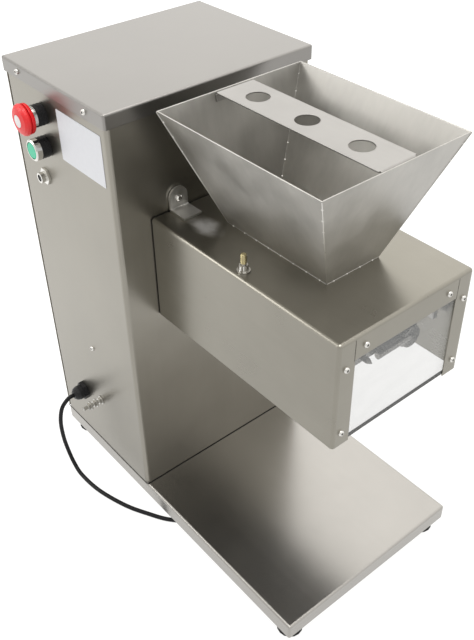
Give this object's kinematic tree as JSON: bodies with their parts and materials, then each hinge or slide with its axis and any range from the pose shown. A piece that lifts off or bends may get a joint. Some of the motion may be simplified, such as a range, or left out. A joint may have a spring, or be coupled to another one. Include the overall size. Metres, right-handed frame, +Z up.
{
  "type": "meat cutting machine",
  "caption": "Upright stainless meat cutting machine: a column on a floor plate carries a box with a tapered hopper over geared interleaved knife rollers, belt-driven by a motor inside.",
  "frame": {"origin": "on the floor, below the middle of the machine's outline without its cord", "axes": "+Z up; -Y is the front with the cutting box and its window; -X is the side with the buttons, gland and cord"},
  "size_m": [0.3935, 0.7112, 0.6919],
  "materials": {
    "stainless_sheet": "brushed stainless sheet",
    "stainless_bright": "polished stainless",
    "hopper_sheet": "brushed stainless sheet, matt",
    "knife_steel": "ground stainless steel",
    "cast_grey": "machined grey iron",
    "motor_paint": "satin paint",
    "black_plastic": "moulded matt plastic",
    "black_rubber": "matt rubber",
    "red_plastic": "gloss moulded plastic",
    "green_plastic": "satin moulded plastic",
    "brass": "plain brass",
    "clear_acrylic": "clear acrylic sheet"
  },
  "bodies": {
    "machine": {"base_plate": "stainless_sheet", "column_shell": "stainless_sheet", "rear_cover": "stainless_sheet", "top_cap": "stainless_sheet", "box_cover": "stainless_sheet", "divider_strip": "stainless_sheet", "left_bracket": "stainless_sheet", "right_bracket": "stainless_sheet", "support_frame": "stainless_sheet", "estop_bezel": "stainless_bright", "start_bezel": "stainless_bright", "reset_barrel": "stainless_bright", "left_bracket_screw": "stainless_bright", "right_bracket_screw": "stainless_bright", "hopper": "hopper_sheet", "rear_cassette_plate": "knife_steel", "front_cassette_plate": "knife_steel", "left_comb": "knife_steel", "right_comb": "knife_steel", "left_bearing_cap": "knife_steel", "right_bearing_cap": "knife_steel", "front_gear_plate": "cast_grey", "rear_gear_plate": "cast_grey", "motor_plate": "cast_grey", "motor_body": "motor_paint", "motor_fan_cover": "motor_paint", "estop_sleeve": "black_plastic", "estop_contact_block": "black_plastic", "start_sleeve": "black_plastic", "start_contact_block": "black_plastic", "cable_gland": "black_plastic", "power_plug": "black_plastic", "front_left_foot": "black_rubber", "front_right_foot": "black_rubber", "rear_left_foot": "black_rubber", "rear_right_foot": "black_rubber", "power_cord": "black_rubber", "cord_coil": "black_rubber", "cord_tail": "black_rubber", "v_belt": "black_rubber", "earth_stud": "brass", "window": "clear_acrylic"},
    "left_cutter": {"left_gear_shaft": "knife_steel", "left_gear": "cast_grey", "driven_pulley": "cast_grey", "left_knife_shaft": "knife_steel"},
    "right_cutter": {"right_gear_shaft": "knife_steel", "right_gear": "cast_grey", "right_knife_shaft": "knife_steel"},
    "motor_rotor": {"motor_shaft": "knife_steel", "motor_pulley": "cast_grey"},
    "estop_stem": {"estop_stem": "red_plastic"},
    "estop_head": {"estop_head": "red_plastic"},
    "start_button": {"start_button": "green_plastic"},
    "reset_button": {"reset_button": "black_plastic"},
    "left_wing_nut": {"left_wing_nut": "stainless_bright"},
    "right_wing_nut": {"right_wing_nut": "stainless_bright"},
    "lock_lever": {"lock_lever": "knife_steel"}
  },
  "joints": [
    {"name": "left_cutter_spin", "type": "hinge", "parent": "machine", "child": "left_cutter", "pos_m": [-0.01995, 0.04985, 0.473], "axis": [0, 1, 0], "continuous": true},
    {"name": "right_cutter_spin", "type": "hinge", "parent": "machine", "child": "right_cutter", "pos_m": [0.05205, 0.04985, 0.473], "axis": [0, 1, 0], "continuous": true},
    {"name": "motor_spin", "type": "hinge", "parent": "machine", "child": "motor_rotor", "pos_m": [-0.01995, 0.14185, 0.126], "axis": [0, 1, 0], "continuous": true},
    {"name": "estop_press", "type": "slide", "parent": "machine", "child": "estop_stem", "axis": [1, 0, 0], "range_m": [0, 0.004]},
    {"name": "estop_twist", "type": "hinge", "parent": "estop_stem", "child": "estop_head", "pos_m": [-0.14895, 0.20585, 0.6385], "axis": [-1, 0, 0], "range_deg": [0, 40]},
    {"name": "start_press", "type": "slide", "parent": "machine", "child": "start_button", "axis": [1, 0, 0], "range_m": [0, 0.003], "stiffness_N_per_m": 400},
    {"name": "reset_press", "type": "slide", "parent": "machine", "child": "reset_button", "axis": [1, 0, 0], "range_m": [0, 0.002], "stiffness_N_per_m": 300},
    {"name": "left_wing_spin", "type": "hinge", "parent": "machine", "child": "left_wing_nut", "pos_m": [-0.08195, -0.12015, 0.53], "axis": [0, 0, 1], "continuous": true},
    {"name": "right_wing_spin", "type": "hinge", "parent": "machine", "child": "right_wing_nut", "pos_m": [0.11405, -0.12015, 0.53], "axis": [0, 0, 1], "continuous": true},
    {"name": "lock_lever_turn", "type": "hinge", "parent": "machine", "child": "lock_lever", "pos_m": [0.07105, -0.25615, 0.434], "axis": [0, -1, 0], "range_deg": [0, 80]}
  ],
  "couplings": [
    {"joint": "right_cutter_spin", "follows": "left_cutter_spin", "ratio": -1},
    {"joint": "motor_spin", "follows": "left_cutter_spin", "ratio": 2.2131}
  ]
}
